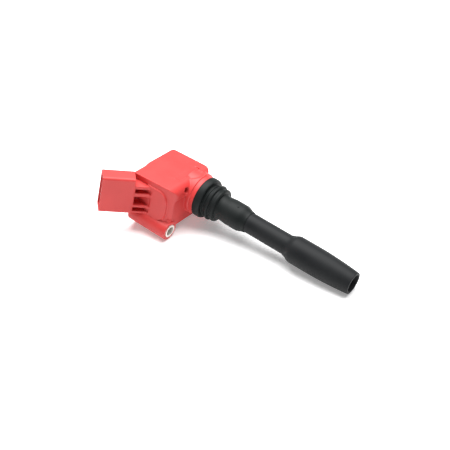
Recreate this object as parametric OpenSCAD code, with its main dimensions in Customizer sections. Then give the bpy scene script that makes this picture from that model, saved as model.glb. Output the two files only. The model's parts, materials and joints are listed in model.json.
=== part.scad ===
// Coil-on-plug ignition coil, lying on its side.
//
// Coil axes, used inside every module: X runs down the stem from the seal
// plane (x = 0, where the collar meets the well seal) to the boot's mouth,
// -Y is the side of the connector and the bolt boss, and Z is up from the
// potted underside to the closed top face. laid() turns the whole coil so
// that it lies on the ground on its boot, its boss and its far lower edge.

/* [Head] */
// Length of the head block along the stem
head_len = 35.4; // [32:0.2:41]
// Space along the stem between the head block and the seal plane
head_gap = 5.5; // [5:0.5:8]
// Stem axis to the near wall, on the connector side
head_near = 30; // [28:0.5:34]
// Stem axis to the far wall
head_far = 14; // [13:0.1:16]
// Stem axis up to the top face, at its front
head_top = 13.1; // [12.6:0.1:14.5]
// How much lower the top face lies at its rear
top_fall = 1.5; // [0.5:0.1:2]
// Stem axis down to the open underside
head_bottom = 19; // [17:0.5:22]
// Wall of the moulded head
wall = 2; // [1.6:0.1:2.4]
// Radius of the upright corner at the far end of the rear
corner_r = 2.4; // [1.5:0.1:4]
// Radius of the two upright corners at the front
front_corner_r = 7; // [4:0.1:7.5]
// Thickness of the cover plate's edge, where it overhangs the near wall
plate_edge = 4.6; // [3:0.1:5]
// How far the plate overhangs the near wall at the rear
plate_lip = 0.6; // [0.3:0.1:2]
// How far the rear edge steps forward on the near side
rear_step = 1; // [0.5:0.1:3]
// Radius that rounds the top face down to the front wall
front_round = 6.5; // [5:0.5:8]
// Depth of resin surface below the rim of the underside
resin_sink = 1; // [0.5:0.1:2]

/* [Collar] */
// Radius of the collar that carries the seal
collar_r = 15; // [14.8:0.1:17.5]
// Length of the collar
collar_len = 13; // [12:0.5:15]
// Radius of the short neck between collar and seal flange
collar_neck_r = 14.3; // [13:0.1:14.8]
// Length of that neck
collar_neck_len = 3.4; // [1:0.1:4]

/* [Connector] */
// Length of the neck, from the near wall to the shell
neck_len = 7.2; // [5:0.1:10]
// Length of the connector shell
conn_depth = 22.2; // [20:0.2:25]
// Long side of the shell
conn_long = 28.4; // [26:0.2:30]
// Short side of the shell
conn_short = 11.5; // [10.5:0.1:13]
// Height of the shell's centre above the stem axis
conn_up = -0.7; // [-2:0.1:0]
// Offset of the shell's centre across the connector axis
conn_across = -0.25; // [-1:0.05:1]
// Wall of the shell
conn_wall = 1.3; // [1:0.1:1.6]
// Corner radius of the shell
conn_corner = 1.8; // [1.5:0.1:2.5]
// Depth of the socket, from the mouth
socket_depth = 15; // [12:0.5:18]
// Blade width
blade_w = 2.8; // [2:0.1:3]
// Blade thickness
blade_t = 0.8; // [0.6:0.1:1]
// Spacing of the blades
blade_pitch = 4.6; // [4.2:0.1:4.8]
// Width of the terminals' tails, behind the socket's floor
tail_w = 1.8; // [1.2:0.1:2.2]
// Length of blade that stands in the socket
blade_out = 8.5; // [7:0.5:10]

/* [Bolt boss] */
// Outer radius of the boss
boss_r = 6.8; // [6.2:0.1:7.6]
// Distance of the boss from the stem axis, towards the near side
boss_y = 27; // [25:0.5:30]
// Distance of the boss below the stem axis
boss_down = 20; // [18:0.5:22]
// How far the boss ends ahead of the head's rear face
boss_inset = 3.9; // [2:0.1:6]
// Front end of the boss, behind the seal plane
boss_front = 5.3; // [4:0.1:8]
// Outer radius of the metal bush
bush_r = 4.7; // [4.3:0.1:5.2]
// Radius of the bush's bore, for an M6 bolt
bush_bore_r = 3.3; // [3.1:0.05:3.5]
// How far the bush stands proud of the boss
bush_proud = 0.3; // [0.1:0.1:0.6]

/* [Well seal] */
// Radius of the seal's flange
seal_r = 14.5; // [14.3:0.1:16]
// Thickness of the flange
seal_flange_t = 5.2; // [4:0.1:5.6]
// Radius of the sealing lips
lip_r = 12.9; // [12.5:0.1:14]
// Radius of the grooves between the lips
lip_groove_r = 11.4; // [10.8:0.1:12]
// Radius of the end bead
bead_r = 12; // [11.8:0.1:13]
// Length of the whole seal sleeve
seal_len = 38.5; // [36:0.5:44]
// Radius of the sleeve's thick stretch
sleeve_r = 9.35; // [9:0.05:10.5]

/* [Stem and boot] */
// Radius of the rigid stem tube
tube_r = 7.2; // [6.8:0.1:8]
// Radius of the tube's bore
tube_bore_r = 4.3; // [4:0.1:4.8]
// Seal plane to the mouth of the boot
boot_end = 122; // [112:1:140]
// Length of the boot
boot_len = 51.5; // [46:0.5:56]
// Length of the tube's seat inside the boot
tube_seat = 10.5; // [9:0.5:13]
// Largest radius of the boot
boot_r = 9.7; // [9:0.1:11]
// Radius of the boot at its mouth
boot_mouth_r = 7.85; // [7.3:0.05:9]
// Radius of the bore that grips the plug
plug_r = 5.25; // [5:0.05:5.6]
// Radius of the lead-in at the mouth
plug_lead_r = 6.4; // [6:0.05:7]
// Length of the bore that grips the plug
plug_depth = 34; // [30:1:38]

/* [Spring and resistor] */
// Radius of the contact spring's coil, to the wire's centre
spring_r = 3.1; // [2.6:0.1:3.4]
// Diameter of the spring wire
wire_d = 0.9; // [0.7:0.1:1]
// How far the spring's free end lies behind the bore that grips the plug
spring_back = 2; // [1:0.5:3]
// Turns of the spring
spring_turns = 15; // [12:1:18]
// Radius of the resistor rod
resistor_r = 2.7; // [2.2:0.1:3.2]
// Length of the resistor rod
resistor_len = 34; // [28:1:38]

/* [Transformer] */
// Resin beside the iron frame
frame_side = 1; // [0.6:0.1:2]
// Resin between the iron frame and the near wall
frame_near_gap = 2.8; // [2.6:0.1:4]
// Stack height of the iron frame
frame_h = 9; // [8.2:0.2:9]
// Limb width of the iron frame
frame_limb = 3.8; // [3.4:0.1:4]
// Resin above the secondary bobbin
bobbin_cover = 1; // [0.6:0.1:1.4]
// Wall of the bobbins, and thickness of their flanges
bobbin_t = 0.8; // [0.6:0.1:0.9]
// Build of the primary winding
primary_t = 1; // [0.7:0.1:1.2]
// Build of the secondary winding
secondary_t = 1; // [0.7:0.1:1.2]
// Thickness of the bias magnet
magnet_t = 2; // [1:0.1:3]
// Thickness of the core's elastic pad
pad_t = 1.2; // [0.8:0.1:2]
// Number of winding sections on the secondary bobbin
sections = 6; // [4:1:8]

/* [Driver] */
// Thickness of the driver's circuit board
board_t = 1.2; // [0.8:0.1:1.6]
// Resin between the board's edge and the chamber wall
board_edge = 0.8; // [0.6:0.1:2]
// Height of the board above the resin's surface
board_up = 3.4; // [3:0.1:3.8]

/* [Hidden] */

// Overshoot of every cut, so that no cut ends on a face.
eps = 0.01;
cut = 1;
// Radial clearance of a piece in its seat, and of a cast-in piece in resin.
seat_gap = 0.05;
cast_gap = 0.1;
round_fn = 96;

red = "crimson";
rubber = "dimgray";
metal = "silver";
copper = "peru";

// Slope across the top face that runs down to the collar's rear edge.
slope_len = 4.5;
slope_drop = 1.7;
slope_near_y = -15.8;
slope_far_y = 7.5;
slope_front = -collar_len + 0.7;
slope_back = slope_front - slope_len;
ramp_low = head_top - slope_drop;

// Head block.
head_front = -head_gap;
head_back = head_front - head_len;
near_y = -head_near;
near_back = head_back + rear_step;
step_y = -13;
step_run = 6;
top_run = head_len - front_round;
plate_z = head_top - plate_edge;
plate_front = head_front - 8;
// The front wall stands back below the rounded front of the top.
recess = 0.8;
recess_z = 4.5;
// Pit beside the collar, under the front edge.
pit_r = 2.2;
pit_y = -collar_r;
pit_z = 8;
pit_depth = 4.5;
cavity_top = head_top - top_fall - wall;
cavity_front = head_front - wall - 2.5;
cavity_back = head_back + wall + rear_step;
cavity_far = head_far - wall;
boss_back = -head_back - boss_inset;
// The chamber above the boss starts higher than the boss reaches.
boss_wall_y = -boss_y + boss_r + wall;
boss_wall_z = -boss_down + boss_r + wall;

// Raised D-shaped pad on the near wall.
pad_rise = 1;
pad_low = -14.6;
pad_high = 8.6;
pad_round = 8;
pad_front = -9.5;
pad_back = 3 - head_near;
pad_root = 2;

// Connector, in its own axes: X out of the mouth, Y across, Z up.
conn_turn = 225;
wall_reach = head_near * sqrt(2);
shell_back = wall_reach + neck_len;
conn_reach = shell_back + conn_depth;
neck_in = wall_reach - 16.4;
neck_half = 4.4;
neck_high = 7.6;
neck_low = -14.7;
slot_back = wall_reach - 4.4;
slot_front = shell_back - 0.8;
slot_floor = -2.4;
slot_over = 6;
// Lower and upper edge of each open slot in the neck.
slots = [[-13.1, -9.9], [-8, -0.9], [1.7, 5.1]];
// Each terminal is a blade in the socket, a step behind the shell's floor,
// and a tail in the solid back of the neck that ends in the resin.
blade_end = conn_reach - socket_depth + blade_out;
step_u = shell_back + 2;
tail_v = (slot_floor - neck_half) / 2;
tail_u = wall_reach - tail_v - wall * sqrt(2) - 1.6;

// Driver, under the transformer.
chip_t = 2.6;
spreader_t = 1.5;
board_z = -head_bottom + resin_sink + board_up;

// Transformer, along Y through the chamber. The room beside the frame's limbs
// or the height above the driver, whichever is less, sets the bobbin's radius.
// The layers are counted inwards, and what is left at the middle is the core.
core_x = (cavity_front + cavity_back) / 2;
frame_near_y = near_y + wall + frame_near_gap;
frame_far_y = cavity_far - frame_side;
layer_gap = 0.3;
driver_gap = 1;
room_h = cavity_top - bobbin_cover - board_z - board_t - chip_t - driver_gap;
room_w = cavity_front - cavity_back - 2 * (frame_side + frame_limb + cast_gap);
s_out = min(room_w, room_h) / 2;
window_w = 2 * (s_out + cast_gap);
frame_w = window_w + 2 * frame_limb;
s_wire = s_out - layer_gap;
s_tube = s_wire - secondary_t;
s_bore = s_tube - bobbin_t;
p_out = s_bore - layer_gap;
p_tube = p_out - cast_gap - primary_t;
p_bore = p_tube - bobbin_t;
core_r = p_bore - seat_gap;
core_up = cavity_top - bobbin_cover - s_out;
core_y0 = frame_near_y + frame_limb + pad_t;
core_y1 = frame_far_y - frame_limb - magnet_t;
bobbin_y0 = core_y0 + layer_gap;
bobbin_y1 = core_y1 - layer_gap;
section_l = (bobbin_y1 - bobbin_y0 - bobbin_t) / sections;

// Outline of the board and what it carries.
board_x0 = cavity_back + board_edge;
board_x1 = cavity_front - board_edge;
board_y0 = boss_wall_y + board_edge;
board_y1 = cavity_far - board_edge;
chip_low = [board_x0 + 3, board_y0 + 3, board_z + board_t];
chip_high = chip_low + [10, 9, chip_t];
capacitor_low = [board_x1 - 8, board_y1 - 7, board_z + board_t];
capacitor_high = capacitor_low + [6, 5, 2.4];

// High-voltage path down the stem.
boot_start = boot_end - boot_len;
tube_end = boot_start + tube_seat;
tube_start = cavity_front + 1;
plug_start = boot_end - plug_depth;
cup_x0 = cavity_front + layer_gap;
cup_len = 5;
cup_wall = 0.5;
cap_len = 3;
cap_wall = 0.5;
resistor_x0 = cup_x0 + cup_len + cap_wall;
resistor_x1 = resistor_x0 + resistor_len;
spring_gap = 0.3;
spring_start = resistor_x1 + cap_wall + seat_gap + spring_gap + wire_d / 2;
spring_end = plug_start - spring_back;

// How the coil lies: it touches the ground with the lower edge of the boot's
// mouth, the boss's front end and the front corner of the head's far edge.
function roll_at(p) =
    atan2(boss_down - head_bottom, head_far + boss_y)
    + asin((boss_r + (head_gap - boss_front) * tan(p)) / norm([head_far + boss_y, boss_down - head_bottom]));
function boss_low(r) = boss_y * sin(r) - boss_down * cos(r) - boss_r;
function pitch_at(r) = atan((-boss_low(r) - boot_mouth_r) / (boot_end + boss_front));
function settle(p, n) = n == 0 ? p : settle(pitch_at(roll_at(p)), n - 1);
lie_pitch = settle(6, 5);
lie_roll = roll_at(lie_pitch);

module laid() {
    rotate([-lie_roll, lie_pitch, 0]) children();
}

// Turns a profile of (radius, distance along the stem) about the stem axis.
module turned() {
    laid() rotate([0, 90, 0]) rotate_extrude($fn = round_fn) children();
}

// A rod along the stem axis.
module rod(x0, x1, r) {
    translate([x0, 0, 0]) rotate([0, 90, 0]) cylinder(h = x1 - x0, r = r, $fn = round_fn);
}

// A rod along Y about the transformer's axis.
module core_rod(y0, y1, r) {
    translate([core_x, y1, core_up]) rotate([90, 0, 0]) cylinder(h = y1 - y0, r = r, $fn = round_fn);
}

module core_ring(y0, y1, r0, r1) {
    difference() {
        core_rod(y0, y1, r1);
        core_rod(y0 - cut, y1 + cut, r0);
    }
}

module block(low, high) {
    translate(low) cube(high - low);
}

// A rectangle with true round corners.
module round_rect(low, high, r) {
    translate([low[0] + r, low[1]]) square([high[0] - low[0] - 2 * r, high[1] - low[1]]);
    translate([low[0], low[1] + r]) square([high[0] - low[0], high[1] - low[1] - 2 * r]);
    for (x = [low[0] + r, high[0] - r], y = [low[1] + r, high[1] - r]) {
        translate([x, y]) circle(r = r, $fn = 48);
    }
}

// Smooth step from 0 to 1.
function ease(t) = (1 - cos(180 * t)) / 2;

// ---------------------------------------------------------------- head

// Plan of the block: the near part's rear edge lies further forward, and a
// slanted stretch joins the two.
module head_plan() {
    front = head_front - front_corner_r;
    mid_y = (near_y + head_far) / 2;
    translate([near_back, near_y]) square([front - near_back, mid_y - near_y]);
    translate([head_back + corner_r, step_y]) square([front - head_back - corner_r, head_far - step_y]);
    translate([head_back, step_y]) square([head_len / 2, head_far - corner_r - step_y]);
    translate([head_back + corner_r, head_far - corner_r]) circle(r = corner_r, $fn = 48);
    translate([front - cut, near_y + front_corner_r])
        square([front_corner_r + cut, head_far - near_y - 2 * front_corner_r]);
    for (y = [near_y + front_corner_r, head_far - front_corner_r]) {
        translate([front, y]) circle(r = front_corner_r, $fn = 64);
    }
    polygon([[head_back, step_y], [near_back, step_y - step_run], [near_back + 5, step_y - step_run],
        [head_back + 5, step_y + 1], [head_back, step_y + 1]]);
}

// The plate's overhang, widest at the rear.
module lip_plan() {
    polygon([[near_back, near_y - plate_lip], [plate_front, near_y], [plate_front, near_y + wall],
        [near_back, near_y + wall]]);
}

// Height of the top face, which falls towards the rear.
function top_at(x) = head_top - top_fall * (head_front - front_round - x) / top_run;

// Side view of the block, with its front upper edge rounded.
module head_side() {
    r = front_round;
    polygon([[head_back - cut, -head_bottom], [head_front - r, -head_bottom], [head_front - r, head_top],
        [head_back - cut, top_at(head_back - cut)]]);
    translate([head_front - r - cut, -head_bottom]) square([r + cut - recess, head_bottom + head_top - r]);
    translate([head_front - r - cut, recess_z]) square([r + cut, head_top - r - recess_z]);
    translate([head_front - r, head_top - r]) circle(r = r, $fn = round_fn);
}

module head_block() {
    intersection() {
        union() {
            translate([0, 0, -head_bottom]) linear_extrude(head_bottom + head_top) head_plan();
            translate([0, 0, plate_z]) linear_extrude(plate_edge) lip_plan();
        }
        translate([0, head_far + cut, 0]) rotate([90, 0, 0])
            linear_extrude(head_near + head_far + plate_lip + 2 * cut) head_side();
    }
}

module near_pad() {
    translate([0, near_y + pad_root, 0]) rotate([90, 0, 0]) linear_extrude(pad_rise + pad_root) {
        translate([pad_back, pad_low]) square([pad_front - pad_round - pad_back, pad_high - pad_low]);
        translate([pad_back, pad_low + pad_round])
            square([pad_front - pad_back, pad_high - pad_low - 2 * pad_round]);
        for (z = [pad_low + pad_round, pad_high - pad_round]) {
            translate([pad_front - pad_round, z]) circle(r = pad_round, $fn = 64);
        }
    }
}

module at_connector() {
    rotate([0, 0, conn_turn]) children();
}

// The shell's outline, grown or shrunk by a wall, extruded along the connector.
module shell_body(x0, x1, inset) {
    half_s = conn_short / 2 - inset;
    half_l = conn_long / 2 - inset;
    translate([x0, conn_across, conn_up]) rotate([90, 0, 90]) linear_extrude(x1 - x0)
        round_rect([-half_s, -half_l], [half_s, half_l], conn_corner - inset / 2);
}

module connector_solid() {
    at_connector() {
        shell_body(shell_back, conn_reach, 0);
        block([neck_in, -neck_half, neck_low], [shell_back + eps, neck_half, neck_high]);
    }
}

// The slots are open towards the near side and end on the near wall.
module connector_cuts() {
    at_connector() shell_body(conn_reach - socket_depth, conn_reach + cut, conn_wall);
    intersection() {
        at_connector() for (s = slots) {
            block([slot_back, slot_floor, s[0]], [slot_front, neck_half + slot_over, s[1]]);
        }
        block([-head_len - head_near, near_y - head_near, neck_low], [0, near_y, neck_high]);
    }
}

module chamber(gap) {
    block([cavity_back + gap, near_y + wall + gap, boss_wall_z + gap],
        [cavity_front - gap, cavity_far - gap, cavity_top - gap]);
    block([cavity_back + gap, boss_wall_y + gap, -head_bottom + (gap > 0 ? resin_sink : -cut)],
        [cavity_front - gap, cavity_far - gap, boss_wall_z + 2]);
}

module top_slope() {
    translate([0, slope_far_y, 0]) rotate([90, 0, 0]) linear_extrude(slope_far_y - slope_near_y)
        polygon([[slope_back, top_at(slope_back)], [slope_front, top_at(slope_front) - slope_drop],
            [slope_front, head_top + cut], [slope_back, head_top + cut]]);
}

// What the flat ramp on top of the collar cuts off. The ramp rises from the
// end of the slope to the collar's front edge.
module collar_ramp() {
    translate([0, collar_r + cut, 0]) rotate([90, 0, 0]) linear_extrude(2 * (collar_r + cut))
        polygon([[-collar_len - cut, ramp_low], [slope_front, ramp_low], [-collar_neck_len, collar_r],
            [-collar_neck_len, collar_r + cut], [-collar_len - cut, collar_r + cut]]);
}

// Room for the bolt's head behind the bush.
module bolt_room() {
    translate([0, -boss_y, -boss_down]) {
        rod(head_back - cut, -boss_back, boss_r);
        rod(head_back - cut, -boss_front + cut, bush_r + seat_gap);
    }
}

module head_housing() {
    color(red) laid() difference() {
        union() {
            difference() {
                head_block();
                top_slope();
                translate([0, pit_y, pit_z]) rod(head_front - pit_depth, head_front + cut, pit_r);
            }
            difference() {
                rod(-collar_len, -collar_neck_len, collar_r);
                collar_ramp();
            }
            rod(-collar_len, 0, collar_neck_r);
            near_pad();
            connector_solid();
            translate([0, -boss_y, -boss_down]) rod(-boss_back, -boss_front, boss_r);
            block([-boss_back + 2, near_y + wall / 2, -boss_down + 2],
                [head_front - recess, boss_wall_y, boss_wall_z]);
        }
        chamber(0);
        connector_cuts();
        for (i = [0:3]) terminal_bar(i, seat_gap);
        bolt_room();
        rod(tube_start, cut, tube_r + seat_gap);
        rod(cavity_front - cut, tube_start + eps, tube_bore_r);
    }
}

// What is cast into the resin, grown by a gap.
module inserts(gap) {
    grow = [gap, gap, gap];
    block([core_x - frame_w / 2, frame_near_y, core_up - frame_h / 2] - grow,
        [core_x + frame_w / 2, frame_far_y, core_up + frame_h / 2] + grow);
    core_rod(bobbin_y0 - gap, bobbin_y1 + gap, s_out + gap);
    core_rod(frame_near_y + frame_limb, frame_far_y - frame_limb, core_r + gap);
    block([board_x0, board_y0, board_z] - grow, [board_x1, board_y1, board_z + board_t] + grow);
    block(chip_low - grow, chip_high + grow);
    block(capacitor_low - grow, capacitor_high + grow);
    block(spreader_low() - grow, spreader_high() + grow);
    for (i = [0:3]) terminal_bar(i, gap);
}

module potting_resin() {
    color("saddlebrown") laid() difference() {
        chamber(cast_gap);
        inserts(cast_gap);
    }
}

module mounting_bush() {
    color(metal) laid() translate([0, -boss_y, -boss_down]) difference() {
        rod(-boss_back - bush_proud, -boss_front + bush_proud, bush_r);
        rod(-boss_back - bush_proud - cut, -boss_front + bush_proud + cut, bush_bore_r);
    }
}

// ---------------------------------------------------------------- stem

// The well seal is a flange, two lips, an end bead and a long sleeve. These
// are where the two lips and the end bead start.
lip_x = [6.4, 8.7, 12];
seal_neck_x = 16.6;
seal_neck_r = tube_r + 1.6;
sleeve_x1 = seal_len - 7;
sleeve_x0 = sleeve_x1 - 7.5;
seal_sweep = [for (i = [0:8]) [seal_neck_r + (sleeve_r - seal_neck_r) * ease(i / 8),
    seal_neck_x + 1 + (sleeve_x0 - seal_neck_x - 1) * i / 8]];
seal_tail = [for (i = [0:10]) [sleeve_r + (tube_r + 0.45 - sleeve_r) * ease(i / 10),
    sleeve_x1 + (seal_len - sleeve_x1) * i / 10]];

module lip(x0, x1, r) {
    half = (x1 - x0) / 2;
    translate([tube_r + 1, x0]) square([r - half - tube_r - 1, x1 - x0]);
    translate([r - half, x0 + half]) circle(r = half, $fn = 48);
}

module seal_profile() {
    difference() {
        union() {
            polygon([[tube_r, 0], [seal_r, 0], [seal_r, seal_flange_t - 1.6],
                [seal_r - 0.4, seal_flange_t - 0.5], [seal_r - 1, seal_flange_t], [tube_r, seal_flange_t]]);
            translate([tube_r, 1]) square([lip_groove_r - tube_r, lip_x[2] + 0.6]);
            lip(lip_x[0], lip_x[0] + 1.2, lip_r - 0.9);
            lip(lip_x[1], lip_x[1] + 2.2, lip_r);
            lip(lip_x[2], lip_x[2] + 3.2, bead_r);
            polygon(concat([[tube_r, lip_x[2]], [seal_neck_r + 0.8, lip_x[2] + 2.6]], seal_sweep, seal_tail,
                [[tube_r, seal_len]]));
        }
        translate([0, -cut]) square([tube_r + seat_gap, seal_len + 2 * cut]);
    }
}

module well_seal() {
    color(rubber) turned() seal_profile();
}

module stem_tube() {
    color("darkslategray") turned() translate([tube_bore_r, tube_start])
        square([tube_r - tube_bore_r, tube_end - tube_start]);
}

shoulder_len = 6;
boot_wide = boot_start + 19.5;
boot_edge = tube_r + 0.5;
boot_swell = [for (i = [0:10]) [boot_edge + (boot_r - boot_edge) * ease(i / 10),
    boot_start + shoulder_len * i / 10]];
boot_taper = [for (i = [0:10]) [boot_r - (boot_r - boot_mouth_r) * (1 - cos(60 * i / 10)) * 2,
    boot_wide + (boot_end - boot_wide) * i / 10]];
lead_len = 3;

module boot_profile() {
    difference() {
        polygon(concat([[tube_bore_r, boot_start]], boot_swell, boot_taper, [[tube_bore_r, boot_end]]));
        translate([0, boot_start - cut]) square([tube_r + seat_gap, tube_end - boot_start + cut + seat_gap]);
        translate([0, plug_start]) square([plug_r, plug_depth + cut]);
        polygon([[0, boot_end + cut], [plug_lead_r, boot_end + cut], [plug_lead_r, boot_end],
            [plug_r, boot_end - lead_len], [0, boot_end - lead_len]]);
    }
}

module plug_boot() {
    color(rubber) turned() boot_profile();
}

// ---------------------------------------------------------------- high voltage

module hv_cup() {
    color(metal) laid() difference() {
        rod(cup_x0, cup_x0 + cup_len, tube_bore_r - seat_gap);
        rod(cup_x0 + 1, cup_x0 + cup_len + cut, tube_bore_r - seat_gap - cup_wall);
    }
}

// A pressed metal cap from x0, with its bore from b0 to b1.
module rod_cap(x0, b0, b1) {
    color(metal) laid() difference() {
        rod(x0, x0 + cap_len, resistor_r + cap_wall);
        rod(b0, b1, resistor_r + seat_gap);
    }
}

module upper_cap() {
    x0 = resistor_x0 - seat_gap - cap_wall;
    rod_cap(x0, x0 + cap_wall, x0 + cap_len + cut);
}

module lower_cap() {
    x1 = resistor_x1 + seat_gap + cap_wall;
    rod_cap(x1 - cap_len, x1 - cap_len - cut, x1 - cap_wall);
}

module suppression_resistor() {
    color("ivory") laid() rod(resistor_x0, resistor_x1, resistor_r);
}

// Spring wire: rings of points swept along a helix, closed turns at both ends.
ring_sides = 6;
rings_per_turn = 20;
ring_count = spring_turns * rings_per_turn;
end_pitch = wire_d * 1.05;
open_turns = spring_turns - 2;
spring_pitch = (spring_end - spring_start - 3 * wire_d) / open_turns;
function turn_x(t) = t < 1 ? t * end_pitch
    : t > open_turns + 1 ? open_turns * spring_pitch + (t - open_turns) * end_pitch
    : end_pitch + (t - 1) * spring_pitch;
function wire_point(k, j) =
    let (t = k / rings_per_turn, a = 360 * t, b = 360 * j / ring_sides, r = spring_r + wire_d / 2 * cos(b))
    [spring_start + turn_x(t) + wire_d / 2 * sin(b), r * cos(a), r * sin(a)];
wire_points = [for (k = [0:ring_count], j = [0:ring_sides - 1]) wire_point(k, j)];
wire_sides = [for (k = [0:ring_count - 1], j = [0:ring_sides - 1])
    let (n = (j + 1) % ring_sides, q = k * ring_sides)
    [q + j, q + ring_sides + j, q + ring_sides + n, q + n]];
wire_ends = [[for (j = [0:ring_sides - 1]) j], [for (j = [ring_sides - 1:-1:0]) ring_count * ring_sides + j]];

module contact_spring() {
    color(metal) laid()
        polyhedron(points = wire_points, faces = concat(wire_sides, wire_ends), convexity = 10);
}

// ---------------------------------------------------------------- terminals

// Terminal i: blade, step and tail, grown by a gap.
module terminal_bar(i, gap) {
    z = conn_up + (i - 1.5) * blade_pitch;
    low = z - blade_w / 2 - gap;
    high = z + blade_w / 2 + gap;
    half = blade_t / 2 + gap;
    at_connector() {
        block([step_u - half, conn_across - half, low], [blade_end + gap, conn_across + half, high]);
        block([step_u - half, tail_v - half, low], [step_u + half, conn_across + half, high]);
        block([tail_u - gap, tail_v - half, z - tail_w / 2 - gap],
            [step_u + half, tail_v + half, z + tail_w / 2 + gap]);
    }
}

module terminal(i) {
    color("gold") laid() terminal_bar(i, 0);
}

module terminal_1() { terminal(0); }
module terminal_2() { terminal(1); }
module terminal_3() { terminal(2); }
module terminal_4() { terminal(3); }

// ---------------------------------------------------------------- transformer

module outer_core() {
    color("slategray") laid() difference() {
        block([core_x - frame_w / 2, frame_near_y, core_up - frame_h / 2],
            [core_x + frame_w / 2, frame_far_y, core_up + frame_h / 2]);
        block([core_x - window_w / 2, frame_near_y + frame_limb, core_up - frame_h],
            [core_x + window_w / 2, frame_far_y - frame_limb, core_up + frame_h]);
    }
}

module centre_core() {
    color("slategray") laid() core_rod(core_y0, core_y1, core_r);
}

module bias_magnet() {
    color("dimgray") laid() core_rod(core_y1, frame_far_y - frame_limb, core_r);
}

module core_pad() {
    color("black") laid() core_rod(frame_near_y + frame_limb, core_y0, core_r);
}

module primary_bobbin() {
    color("beige") laid() {
        core_ring(bobbin_y0, bobbin_y1, p_bore, p_tube);
        core_ring(bobbin_y0, bobbin_y0 + bobbin_t, p_bore, p_out);
        core_ring(bobbin_y1 - bobbin_t, bobbin_y1, p_bore, p_out);
    }
}

module primary_winding() {
    color(copper) laid() core_ring(bobbin_y0 + bobbin_t, bobbin_y1 - bobbin_t, p_tube, p_tube + primary_t);
}

module secondary_bobbin() {
    color("beige") laid() {
        core_ring(bobbin_y0, bobbin_y1, s_bore, s_tube);
        for (i = [0:sections]) {
            y = bobbin_y0 + i * section_l;
            core_ring(y, y + bobbin_t, s_bore, s_out);
        }
    }
}

module secondary_winding() {
    color(copper) laid() for (i = [0:sections - 1]) {
        y = bobbin_y0 + i * section_l + bobbin_t;
        core_ring(y, y + section_l - bobbin_t, s_tube, s_wire);
    }
}

// ---------------------------------------------------------------- driver

function spreader_low() = chip_low - [2, 2, board_t + spreader_t];
function spreader_high() = [chip_high[0] + 2, chip_high[1] + 2, board_z];

module driver_board() {
    color("darkgreen") laid() block([board_x0, board_y0, board_z], [board_x1, board_y1, board_z + board_t]);
}

module driver_chip() {
    color("black") laid() block(chip_low, chip_high);
}

module heat_spreader() {
    color(metal) laid() block(spreader_low(), spreader_high());
}

module noise_capacitor() {
    color("orange") laid() block(capacitor_low, capacitor_high);
}

head_housing();
potting_resin();
mounting_bush();
well_seal();
stem_tube();
plug_boot();
contact_spring();
suppression_resistor();
upper_cap();
lower_cap();
hv_cup();
terminal_1();
terminal_2();
terminal_3();
terminal_4();
outer_core();
centre_core();
bias_magnet();
core_pad();
primary_bobbin();
primary_winding();
secondary_bobbin();
secondary_winding();
driver_board();
driver_chip();
heat_spreader();
noise_capacitor();
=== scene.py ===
import json
import math

import bmesh
import bpy
from mathutils import Matrix, Vector


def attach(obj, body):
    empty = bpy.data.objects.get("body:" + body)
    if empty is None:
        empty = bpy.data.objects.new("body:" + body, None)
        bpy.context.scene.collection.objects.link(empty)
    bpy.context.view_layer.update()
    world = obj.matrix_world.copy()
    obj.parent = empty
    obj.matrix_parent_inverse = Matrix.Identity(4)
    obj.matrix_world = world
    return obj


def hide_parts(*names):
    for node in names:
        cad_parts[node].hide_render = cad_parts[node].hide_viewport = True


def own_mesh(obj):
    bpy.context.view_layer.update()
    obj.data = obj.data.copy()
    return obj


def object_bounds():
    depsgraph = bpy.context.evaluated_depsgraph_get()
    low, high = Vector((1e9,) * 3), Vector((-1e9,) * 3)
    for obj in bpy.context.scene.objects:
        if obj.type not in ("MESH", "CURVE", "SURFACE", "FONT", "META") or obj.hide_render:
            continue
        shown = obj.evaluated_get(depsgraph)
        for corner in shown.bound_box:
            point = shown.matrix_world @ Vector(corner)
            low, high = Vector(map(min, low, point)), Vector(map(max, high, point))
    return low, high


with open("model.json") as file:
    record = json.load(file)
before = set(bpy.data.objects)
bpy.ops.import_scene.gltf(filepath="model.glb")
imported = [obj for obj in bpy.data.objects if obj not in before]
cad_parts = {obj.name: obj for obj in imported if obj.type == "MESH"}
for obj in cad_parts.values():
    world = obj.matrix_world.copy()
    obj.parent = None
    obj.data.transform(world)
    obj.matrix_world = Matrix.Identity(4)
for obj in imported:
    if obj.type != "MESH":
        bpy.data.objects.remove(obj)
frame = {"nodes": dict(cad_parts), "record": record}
cad_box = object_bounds()
NODES = frame["nodes"]
MM = 0.001

# ---------------------------------------------------------------- coil axes
# The mounts say how the coil lies: the stem runs along the well seal's axis,
# and the harness socket looks out half way between -X and -Y of the coil.

mounts = {m["name"]: m for m in frame["record"]["mounts"]}
stem_x = Vector(mounts["well_seal"]["axis"]).normalized()
socket_out = Vector(mounts["harness_socket"]["axis"]).normalized()
stem_y = -(socket_out * math.sqrt(2) + stem_x).normalized()
stem_z = stem_x.cross(stem_y)
COIL = Matrix((stem_x, stem_y, stem_z)).transposed().to_4x4()
COIL_INV = COIL.inverted()
GROUND = cad_box[0][2]


def coil_point(x, y, z):
    """A point given in the coil's own axes, in millimetres."""
    return COIL @ Vector((x * MM, y * MM, z * MM))


def new_object(name, data):
    """An object in the scene that holds the given mesh, light or camera."""
    made = bpy.data.objects.new(name, data)
    bpy.context.scene.collection.objects.link(made)
    return made


# ---------------------------------------------------------------- camera

TARGET = Vector((0.0233, -0.0075, -0.0088))
VIEW_AZIMUTH = math.radians(37.46)
VIEW_ELEVATION = math.radians(41.96)
VIEW_ROLL = math.radians(-0.7)
VIEW_DISTANCE = 0.7465
LENS = 88
SENSOR_WIDTH = 36
NEAREST_SEEN = 0.01


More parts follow.
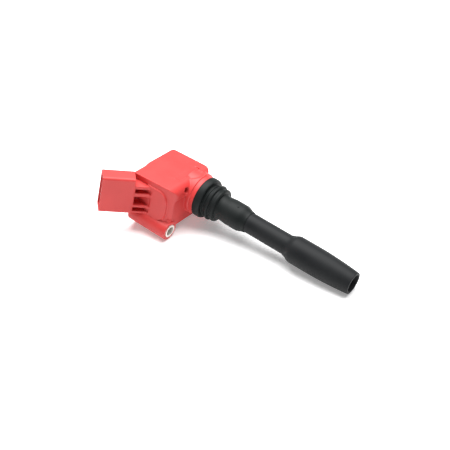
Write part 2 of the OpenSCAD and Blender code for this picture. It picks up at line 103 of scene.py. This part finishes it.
def make_camera():
    """The camera, at the place and angle that show the coil lying on its side."""
    data = bpy.data.cameras.new("camera")
    data.lens = LENS
    data.sensor_width = SENSOR_WIDTH
    data.clip_start = NEAREST_SEEN
    camera = new_object("camera", data)
    bpy.context.scene.view_settings.view_transform = "Standard"
    back = Vector((
        math.sin(VIEW_AZIMUTH) * math.cos(VIEW_ELEVATION),
        -math.cos(VIEW_AZIMUTH) * math.cos(VIEW_ELEVATION),
        math.sin(VIEW_ELEVATION),
    ))
    camera.location = TARGET + back * VIEW_DISTANCE
    turn = back.to_track_quat("Z", "Y").to_matrix() @ Matrix.Rotation(VIEW_ROLL, 3, "Z")
    camera.rotation_euler = turn.to_euler()
    bpy.context.scene.camera = camera


make_camera()


# ---------------------------------------------------------------- materials
# Noise scales are per metre, and heights of grain and streaks are in millimetres.

MOTTLE_SCALE = 55.0
MOTTLE_DETAIL = 3.0
GRAIN_DETAIL = 5.0
GRAIN_ROUGHNESS = 0.6
GRAIN_STRENGTH = 0.35
STREAK_DETAIL = 4.0
STREAK_STRENGTH = 0.2
STREAK_HEIGHT = 0.01
BUSH_METALLIC = 0.55


def new_material(name):
    """A fresh material, with its tree and its main shader."""
    material = bpy.data.materials.new(name)
    material.use_nodes = True
    tree = material.node_tree
    return material, tree, tree.nodes["Principled BSDF"]


def object_coords(tree):
    """The point's place in the object, in metres."""
    return tree.nodes.new("ShaderNodeTexCoord").outputs["Object"]


def noise(tree, vector, scale, detail, roughness=0.55):
    """Noise between 0 and 1."""
    node = tree.nodes.new("ShaderNodeTexNoise")
    node.inputs["Scale"].default_value = scale
    node.inputs["Detail"].default_value = detail
    node.inputs["Roughness"].default_value = roughness
    tree.links.new(vector, node.inputs["Vector"])
    return node.outputs["Fac"]


def ramp(tree, value, low, high, stops=(0.3, 0.7)):
    """A colour between low and high, which value picks."""
    node = tree.nodes.new("ShaderNodeValToRGB")
    node.color_ramp.elements[0].position = stops[0]
    node.color_ramp.elements[0].color = (*low, 1)
    node.color_ramp.elements[1].position = stops[1]
    node.color_ramp.elements[1].color = (*high, 1)
    tree.links.new(value, node.inputs["Fac"])
    return node.outputs["Color"]


def spread(tree, value, low, high):
    """A number between low and high, which value picks."""
    node = tree.nodes.new("ShaderNodeMapRange")
    node.inputs["To Min"].default_value = low
    node.inputs["To Max"].default_value = high
    tree.links.new(value, node.inputs["Value"])
    return node.outputs["Result"]


def bump(tree, shader, height, strength, distance):
    """Relief on the shader's surface that follows height."""
    node = tree.nodes.new("ShaderNodeBump")
    node.inputs["Strength"].default_value = strength
    node.inputs["Distance"].default_value = distance
    tree.links.new(height, node.inputs["Height"])
    tree.links.new(node.outputs["Normal"], shader.inputs["Normal"])


def moulded(name, low, high, rough, grain=900.0, grain_height=0.02, specular=0.5):
    """Moulded plastic or rubber: a fine spark-eroded grain, slow mottling in colour and gloss."""
    material, tree, shader = new_material(name)
    vector = object_coords(tree)
    slow = noise(tree, vector, MOTTLE_SCALE, MOTTLE_DETAIL)
    fine = noise(tree, vector, grain, GRAIN_DETAIL, GRAIN_ROUGHNESS)
    tree.links.new(ramp(tree, slow, low, high), shader.inputs["Base Color"])
    tree.links.new(spread(tree, slow, rough[0], rough[1]), shader.inputs["Roughness"])
    shader.inputs["Specular IOR Level"].default_value = specular
    bump(tree, shader, fine, GRAIN_STRENGTH, grain_height * MM)
    return material


def metal(name, low, high, rough, streak=(1.0, 1.0, 1.0), scale=400.0):
    """Bare metal with noise in its colour and gloss, drawn out into streaks where streak isn't even."""
    material, tree, shader = new_material(name)
    vector = object_coords(tree)
    stretch = tree.nodes.new("ShaderNodeMapping")
    stretch.inputs["Scale"].default_value = streak
    tree.links.new(vector, stretch.inputs["Vector"])
    lines = noise(tree, stretch.outputs["Vector"], scale, STREAK_DETAIL)
    tree.links.new(ramp(tree, lines, low, high), shader.inputs["Base Color"])
    tree.links.new(spread(tree, lines, rough[0], rough[1]), shader.inputs["Roughness"])
    shader.inputs["Metallic"].default_value = 1.0
    bump(tree, shader, lines, STREAK_STRENGTH, STREAK_HEIGHT * MM)
    return material


RED = moulded("red_moulding", (0.55, 0.035, 0.033), (0.61, 0.045, 0.042),
              (0.44, 0.54), 1100.0, 0.015, 0.42)
SEAL = moulded("seal_rubber", (0.007, 0.009, 0.009), (0.012, 0.014, 0.014),
               (0.42, 0.56), 1500.0, 0.02, 0.13)
TUBE = moulded("black_tube", (0.010, 0.011, 0.012), (0.015, 0.016, 0.017),
               (0.46, 0.58), 1200.0, 0.015, 0.13)
BOOT = moulded("boot_silicone", (0.009, 0.010, 0.011), (0.014, 0.015, 0.016),
               (0.46, 0.60), 1300.0, 0.02, 0.13)
RESIN = moulded("resin", (0.020, 0.012, 0.008), (0.035, 0.020, 0.012), (0.18, 0.30), 220.0, 0.05)
BUSH = metal("bush_steel", (0.70, 0.66, 0.60), (0.88, 0.85, 0.80), (0.30, 0.45), (1, 1, 1), 700.0)
BUSH.node_tree.nodes["Principled BSDF"].inputs["Metallic"].default_value = BUSH_METALLIC
STEEL = metal("spring_steel", (0.50, 0.50, 0.50), (0.70, 0.70, 0.70), (0.22, 0.34), (1, 8, 8), 500.0)
TIN = metal("terminal_tin", (0.66, 0.65, 0.62), (0.82, 0.81, 0.77), (0.22, 0.38), (2, 2, 12), 400.0)
CAP = metal("cap_metal", (0.60, 0.60, 0.58), (0.78, 0.78, 0.76), (0.25, 0.4), (1, 1, 1), 500.0)
IRON = metal("iron", (0.16, 0.16, 0.17), (0.28, 0.28, 0.30), (0.4, 0.6), (1, 1, 30), 200.0)
MAGNET = metal("magnet", (0.30, 0.30, 0.32), (0.42, 0.42, 0.44), (0.3, 0.45))
COPPER = metal("copper_wire", (0.50, 0.20, 0.09), (0.68, 0.32, 0.15), (0.25, 0.4), (1, 40, 1), 250.0)
CERAMIC = moulded("ceramic", (0.78, 0.75, 0.68), (0.86, 0.83, 0.77), (0.3, 0.5))
BOBBIN = moulded("bobbin", (0.62, 0.55, 0.42), (0.72, 0.65, 0.52), (0.4, 0.55))
BOARD = moulded("board", (0.02, 0.16, 0.06), (0.04, 0.24, 0.09), (0.3, 0.45))
CHIP = moulded("chip", (0.015, 0.015, 0.016), (0.028, 0.028, 0.030), (0.5, 0.65))
CAPACITOR = moulded("capacitor", (0.55, 0.24, 0.03), (0.68, 0.32, 0.05), (0.2, 0.35))

SLOT_MATERIALS = {
    "red_moulding": RED,
    "resin": RESIN,
    "bush_steel": BUSH,
    "seal_rubber": SEAL,
    "black_tube": TUBE,
    "boot_silicone": BOOT,
    "spring_steel": STEEL,
    "ceramic": CERAMIC,
    "cap_metal": CAP,
    "iron": IRON,
    "magnet": MAGNET,
    "bobbin": BOBBIN,
    "copper_wire": COPPER,
    "board": BOARD,
    "chip": CHIP,
    "capacitor": CAPACITOR,
    "terminal_tin": TIN,
}
NODE_SLOT = {s["node"]: s["material_slot"] for s in frame["record"]["subparts"]}


def dress(piece, material):
    """Give a piece this material and no other."""
    piece.data.materials.clear()
    piece.data.materials.append(material)


for node_name, node in NODES.items():
    dress(node, SLOT_MATERIALS[NODE_SLOT[node_name]])


# ---------------------------------------------------------------- helpers
# Faces that turn by more than these angles, in degrees, meet in a sharp edge.

CAD_ANGLE = 35
TURNED_ANGLE = 50
SMALL_PIECE_ANGLE = 60

# Outline points closer than this many millimetres are one point.
SAME_POINT = 0.02
# An outline turns into a fillet where it bends by this many degrees or more.
SHARP_CORNER = 25
# A fillet takes no more than this share of the edges beside it.
LONGEST_CUT = 0.45
FILLET_STEPS = 5
TURNED_SEGMENTS = 160


def add_piece(name, mesh, node, body="coil"):
    """A new visible piece that stands for a CAD node."""
    piece = new_object(name, mesh)
    slot = NODE_SLOT[node]
    dress(piece, SLOT_MATERIALS[slot])
    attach(piece, body)
    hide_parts(node)
    return piece


def smooth(mesh, angle):
    """Smooth shading with sharp edges kept where the faces turn by more than angle degrees."""
    for face in mesh.polygons:
        face.use_smooth = True
    mesh.set_sharp_from_angle(angle=math.radians(angle))


def profile_loop(node):
    """The closed outline (distance along the stem, radius), in mm, of a node turned about the stem axis."""
    mesh = NODES[node].data
    local = [COIL_INV @ v.co for v in mesh.vertices]
    points = []
    index = []
    for p in local:
        q = (p.x / MM, math.hypot(p.y, p.z) / MM)
        found = next((i for i, o in enumerate(points) if math.dist(o, q) < SAME_POINT), None)
        if found is None:
            points.append(q)
            found = len(points) - 1
        index.append(found)
    near = {i: set() for i in range(len(points))}
    for edge in mesh.edges:
        a, b = (index[v] for v in edge.vertices)
        if a != b:
            near[a].add(b)
            near[b].add(a)
    start = max(near, key=lambda i: points[i][1])
    loop = [start]
    previous, here = None, start
    while True:
        ways = [n for n in near[here] if n != previous]
        step = max(ways, key=lambda n: points[n][0]) if previous is None else ways[0]
        if step == start:
            break
        loop.append(step)
        previous, here = here, step
    return [points[i] for i in loop]


def filleted(loop, radius):
    """The closed outline with each sharp corner rounded to about the given radius."""
    out = []
    count = len(loop)
    for i in range(count):
        a, b, c = (Vector(loop[(i + k) % count]) for k in (-1, 0, 1))
        u, v = (a - b), (c - b)
        turn = math.pi - u.angle(v)
        if math.degrees(turn) < SHARP_CORNER:
            out.append(tuple(b))
            continue
        cut = min(radius * math.tan(turn / 2), LONGEST_CUT * u.length, LONGEST_CUT * v.length)
        p, q = b + u.normalized() * cut, b + v.normalized() * cut
        for k in range(FILLET_STEPS + 1):
            t = k / FILLET_STEPS
            out.append(tuple(p * (1 - t) ** 2 + b * 2 * t * (1 - t) + q * t ** 2))
    return out


def revolved(name, loop):
    """A closed mesh: the outline turned about the stem axis."""
    bm = bmesh.new()
    rings = []
    for k in range(TURNED_SEGMENTS):
        a = math.tau * k / TURNED_SEGMENTS
        rings.append([bm.verts.new(coil_point(x, r * math.cos(a), r * math.sin(a))) for x, r in loop])
    count = len(loop)
    for k in range(TURNED_SEGMENTS):
        one, two = rings[k], rings[(k + 1) % TURNED_SEGMENTS]
        for i in range(count):
            j = (i + 1) % count
            bm.faces.new((one[i], one[j], two[j], two[i]))
    bmesh.ops.recalc_face_normals(bm, faces=bm.faces)
    mesh = bpy.data.meshes.new(name)
    bm.to_mesh(mesh)
    bm.free()
    smooth(mesh, TURNED_ANGLE)
    return mesh


# ---------------------------------------------------------------- red head

HEAD_VOXEL = 0.25 * MM
HEAD_SMOOTHING = 2
HEAD_SMOOTHING_STRENGTH = 0.5
# Share of the remeshed head's faces that is kept.
HEAD_KEPT = 0.22


def make_head():
    """The moulded head: the CAD solid with every edge rounded as a moulding is."""
    mesh = NODES["head_housing"].data.copy()
    mesh.name = "moulded_head"
    piece = new_object("moulded_head", mesh)
    remesh = piece.modifiers.new("remesh", "REMESH")
    remesh.mode = "VOXEL"
    remesh.voxel_size = HEAD_VOXEL
    remesh.use_smooth_shade = True
    soften = piece.modifiers.new("soften", "SMOOTH")
    soften.factor = HEAD_SMOOTHING_STRENGTH
    soften.iterations = HEAD_SMOOTHING
    thin = piece.modifiers.new("thin", "DECIMATE")
    thin.ratio = HEAD_KEPT
    bpy.context.view_layer.update()
    depsgraph = bpy.context.evaluated_depsgraph_get()
    final = bpy.data.meshes.new_from_object(piece.evaluated_get(depsgraph))
    bpy.data.objects.remove(piece)
    final.name = "moulded_head"
    for face in final.polygons:
        face.use_smooth = True
    add_piece("moulded_head", final, "head_housing")


make_head()


# ---------------------------------------------------------------- turned pieces

def make_turned(name, node, radius):
    """A turned piece with its CAD node's own outline and edges of this radius, in millimetres."""
    add_piece(name, revolved(name, filleted(profile_loop(node), radius)), node)


make_turned("seal_sleeve", "well_seal", 0.35)
make_turned("stem_pipe", "stem_tube", 0.3)
make_turned("plug_boot_skin", "plug_boot", 0.5)

for node in NODES.values():
    smooth(node.data, CAD_ANGLE)


# The pip's dome starts PIP_SEAT from the stem's axis, and its foot is sunk into the sleeve. In millimetres.
PIP_ALONG = 29.1
PIP_TURN = math.radians(107.7)
PIP_SEAT = 9.2
PIP_RADIUS = 0.75
PIP_FOOT_RADIUS = PIP_RADIUS * 1.25
PIP_HEIGHT = 0.5
PIP_SUNK = 0.5
PIP_SIDES = 24
PIP_LEVELS = 7


def pip_outline():
    """Radius and height of each ring of the pip, from its foot to the top of its dome."""
    climbs = [math.pi / 2 * k / PIP_LEVELS for k in range(PIP_LEVELS)]
    dome = [(PIP_RADIUS * math.cos(a), PIP_HEIGHT * math.sin(a)) for a in climbs]
    return [(PIP_FOOT_RADIUS, -PIP_SUNK)] + dome


def make_pip():
    """The small moulding pip on the upper side of the seal's sleeve."""
    out = Vector((0, math.cos(PIP_TURN), math.sin(PIP_TURN)))
    side = Vector((0, -math.sin(PIP_TURN), math.cos(PIP_TURN)))
    ahead = Vector((1, 0, 0))
    bm = bmesh.new()
    rows = []
    for r, h in pip_outline():
        row = []
        for k in range(PIP_SIDES):
            a = math.tau * k / PIP_SIDES
            p = ahead * (PIP_ALONG + r * math.cos(a)) + side * (r * math.sin(a)) + out * (PIP_SEAT + h)
            row.append(bm.verts.new(coil_point(*p)))
        rows.append(row)
    for low, high in zip(rows, rows[1:]):
        for k in range(PIP_SIDES):
            n = (k + 1) % PIP_SIDES
            bm.faces.new((low[k], low[n], high[n], high[k]))
    bm.faces.new(rows[0])
    bm.faces.new(rows[-1])
    bmesh.ops.recalc_face_normals(bm, faces=bm.faces)
    mesh = bpy.data.meshes.new("seal_pip")
    bm.to_mesh(mesh)
    bm.free()
    smooth(mesh, SMALL_PIECE_ANGLE)
    piece = new_object("seal_pip", mesh)
    dress(piece, SEAL)
    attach(piece, "coil")


make_pip()


# ---------------------------------------------------------------- contact spring


def make_spring():
    """A copy of the CAD wire, in a mesh of its own."""
    mesh = NODES["contact_spring"].data.copy()
    piece = add_piece("spring_coil", mesh, "contact_spring")
    smooth(mesh, SMALL_PIECE_ANGLE)
    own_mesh(piece)


make_spring()


# ---------------------------------------------------------------- stage

FLOOR_HALF = 3.0
FLOOR_DROP = 0.0002
FLOOR_WHITE = 0.92
FLOOR_ROUGHNESS = 0.6
FLOOR_GLOW = 0.25
WORLD_LIGHT = 0.22
LIGHT_AIM = (0.02, 0.0, 0.0)


def make_floor():
    """A plain pale floor just below the lowest point of the coil."""
    mesh = bpy.data.meshes.new("floor")
    z = GROUND - FLOOR_DROP
    signs = ((-1, -1), (1, -1), (1, 1), (-1, 1))
    corners = [(FLOOR_HALF * x, FLOOR_HALF * y, z) for x, y in signs]
    mesh.from_pydata(corners, [], [(0, 1, 2, 3)])
    floor = new_object("floor", mesh)
    material, _, shader = new_material("floor_white")
    shader.inputs["Base Color"].default_value = (FLOOR_WHITE, FLOOR_WHITE, FLOOR_WHITE, 1)
    shader.inputs["Roughness"].default_value = FLOOR_ROUGHNESS
    shader.inputs["Emission Color"].default_value = (1, 1, 1, 1)
    shader.inputs["Emission Strength"].default_value = FLOOR_GLOW
    dress(floor, material)


def area_light(name, place, size, power):
    """A soft rectangular light that looks at LIGHT_AIM."""
    data = bpy.data.lights.new(name, "AREA")
    data.shape = "RECTANGLE"
    data.size = size[0]
    data.size_y = size[1]
    data.energy = power
    light = new_object(name, data)
    light.location = place
    away = Vector(place) - Vector(LIGHT_AIM)
    light.rotation_euler = away.to_track_quat("Z", "Y").to_euler()


def make_lights():
    """An even white world, and one large soft box above."""
    world = bpy.data.worlds.new("studio")
    world.use_nodes = True
    background = world.node_tree.nodes["Background"]
    background.inputs["Color"].default_value = (1, 1, 1, 1)
    background.inputs["Strength"].default_value = WORLD_LIGHT
    bpy.context.scene.world = world
    area_light("top_box", place=(-0.10, 0.22, 0.95), size=(1.15, 0.95), power=30)


make_floor()
make_lights()
